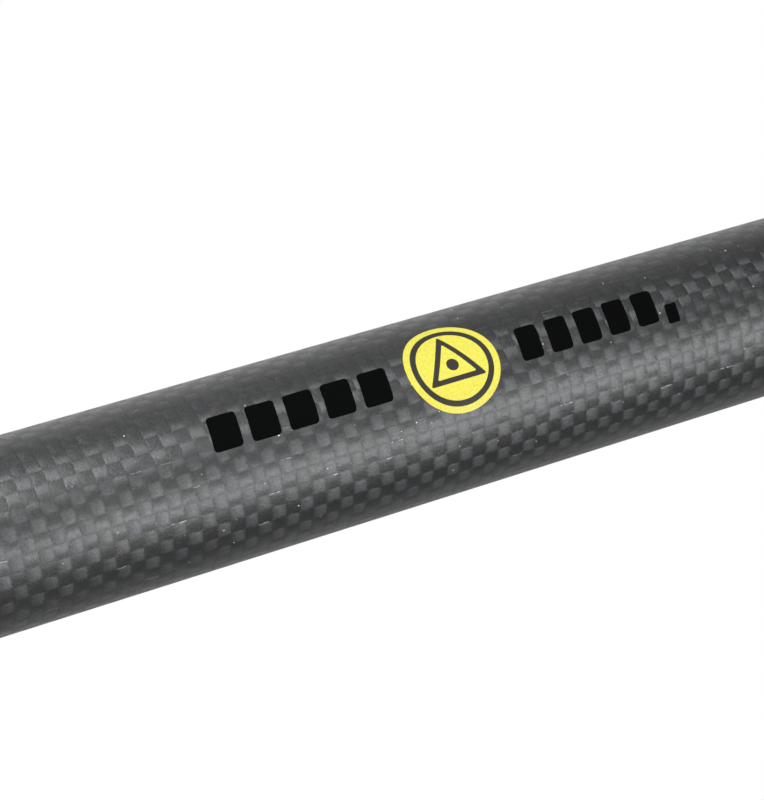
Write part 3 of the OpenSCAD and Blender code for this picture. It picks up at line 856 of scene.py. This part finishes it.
INK = 0.03 * MM  # thickness of a printed film
GROUND = 0.012 * MM  # thickness of the grey ground under the badge
BADGE_R = 8.7 * MM
BAR_LOW, BAR_TOP = -3.2 * MM, 3.3 * MM
BAR_GAP, BAR_LEAN, BAR_ROUND = 0.9 * MM, 0.8 * MM, 0.8 * MM
BARS_BELOW = (-46.1 * MM, -11.9 * MM)  # where the bars under the badge start and end, from its middle
BARS_ABOVE = (12.8 * MM, 41.6 * MM)
BARS_EACH = 5
SUFFIX = (42.4 * MM, 45.2 * MM)  # where the small bar after them starts and ends
SUFFIX_LOW, SUFFIX_TOP = -4.1 * MM, -0.5 * MM
SUFFIX_LEAN, SUFFIX_ROUND = 0.4 * MM, 0.4 * MM
yellow_ink = ink("ink_yellow", (0.61, 0.56, 0.065), 0.42, 0.5)
grey_ink = ink("ink_grey", (0.030, 0.029, 0.027), 0.42, 0.35)
black_ink = ink("ink_black", (0.0010, 0.0012, 0.0013), 0.7, 0.04)
white_ink = ink("ink_white", (0.80, 0.80, 0.78), 0.5, 0.1)


def triangle(radius):
    """A triangle that points along +Y, with rounded corners."""
    angles = [math.radians(90 + 120 * k) for k in range(3)]
    corners = [(radius * math.cos(a), radius * math.sin(a)) for a in angles]
    return rounded(corners, radius * 0.08)


def badge_outlines():
    """A round badge: a band and a disc, with a triangle round a dot, as on survey marks, left open in it.

    Sizes are shares of the badge's radius.
    """
    band = [circle(BADGE_R), circle(BADGE_R * 0.865)]
    disc = [circle(BADGE_R * 0.745), triangle(BADGE_R * 0.72)]
    inside = [triangle(BADGE_R * 0.50), circle(BADGE_R * 0.13, 32)]
    return band + disc + inside


def slanted(start, end, low, top, lean, radius):
    """The outline of a slanted bar with rounded corners. Its top is shifted by the lean."""
    return rounded([(start, low), (end - lean, low), (end, top), (start + lean, top)], radius)


def bars(start, end):
    """Outlines of a row of slanted bars along the pole."""
    width = (end - start - BAR_GAP * (BARS_EACH - 1)) / BARS_EACH
    starts = [start + k * (width + BAR_GAP) for k in range(BARS_EACH)]
    return [slanted(at, at + width, BAR_LOW, BAR_TOP, BAR_LEAN, BAR_ROUND) for at in starts]


def wrap_print(name, flat, material):
    """Puts a flat print on the outer tube."""
    new_piece(name, wrapped(name, flat, TUBE_R, PRINT_Z), material, "lower_section")


wrap_print("print_ground", flat_shape([circle(BADGE_R * 0.95)], GROUND), grey_ink)
badge = flat_shape(badge_outlines(), INK)
badge.transform(Matrix.Translation((0, 0, GROUND)))
wrap_print("print_badge", badge, yellow_ink)
suffix = slanted(*SUFFIX, SUFFIX_LOW, SUFFIX_TOP, SUFFIX_LEAN, SUFFIX_ROUND)
bar_outlines = [*bars(*BARS_BELOW), *bars(*BARS_ABOVE), suffix]
wrap_print("print_bars", flat_shape(bar_outlines, INK), black_ink)


# ---- height scale on the inner tube ----

SCALE_TOP = 2382.4 * MM  # a reading plus its mark's height in the closed pole
READINGS = range(125, 201)  # hundredths of a metre
MARK_LEFT = 10 * MM  # where the marks start, round the tube from its front
MARK_THICK = 0.5 * MM
TENTH_MARK, FIFTH_MARK, PLAIN_MARK = 10 * MM, 7 * MM, 4.5 * MM  # lengths
FIGURES_LEFT, FIGURES_SIZE = -1 * MM, 6 * MM


def mark_x(reading):
    return SCALE_TOP - reading * 10 * MM


def mark_length(reading):
    if reading % 10 == 0:
        return TENTH_MARK
    if reading % 5 == 0:
        return FIFTH_MARK
    return PLAIN_MARK


def scale_marks():
    """The flat marks, longer at every fifth and tenth, with x up the pole."""
    outlines = []
    for reading in READINGS:
        low, high = mark_x(reading) - MARK_THICK / 2, mark_x(reading) + MARK_THICK / 2
        right = MARK_LEFT - mark_length(reading)
        outlines.append([(low, right), (high, right), (high, MARK_LEFT), (low, MARK_LEFT)])
    return flat_shape(outlines, INK)


def scale_figures():
    """The flat figures beside every tenth mark, in one mesh, with x up the pole."""
    bm = bmesh.new()
    for reading in READINGS:
        if reading % 10:
            continue
        text = bpy.data.curves.new("figures", "FONT")
        text.body = f"{reading / 100:.1f}"
        text.size = FIGURES_SIZE
        text.align_y = "CENTER"
        text.extrude = INK / 2
        text.resolution_u = 4
        figures = curve_mesh(text, INK)
        upright = Matrix.Rotation(-math.pi / 2, 4, "Z")
        figures.transform(Matrix.Translation((mark_x(reading), FIGURES_LEFT, 0)) @ upright)
        bm.from_mesh(figures)
    mesh = bpy.data.meshes.new("figures")
    bm.to_mesh(mesh)
    bm.free()
    return mesh


for name, flat in (("scale_marks", scale_marks()), ("scale_figures", scale_figures())):
    new_piece(name, wrapped(name, flat, INNER_R, 0), white_ink, "inner_section")


# ---- floor ----

FLOOR_R, FLOOR_SIDES = 40, 128  # its radius is in metres
floor_mesh = bpy.data.meshes.new("floor")
floor_rim = [(x, y, 0) for x, y in circle(FLOOR_R, FLOOR_SIDES)]
floor_mesh.from_pydata(floor_rim, [], [range(FLOOR_SIDES)])
floor = bpy.data.objects.new("floor", floor_mesh)
bpy.context.scene.collection.objects.link(floor)
floor_finish = Finish("floor_pale", Base_Color=(0.92, 0.92, 0.91), Roughness=0.9)
floor.data.materials.append(floor_finish.material)


def flag_off(light, thing):
    """Keeps a light off one thing, as a black flag does in a studio."""
    shaded = bpy.data.collections.new(light.name + "_flag")
    shaded.objects.link(thing)
    light.light_linking.receiver_collection = shaded
    shaded.collection_objects[0].light_linking.link_state = "EXCLUDE"


flag_off(key, floor)
flag_off(fill, floor)
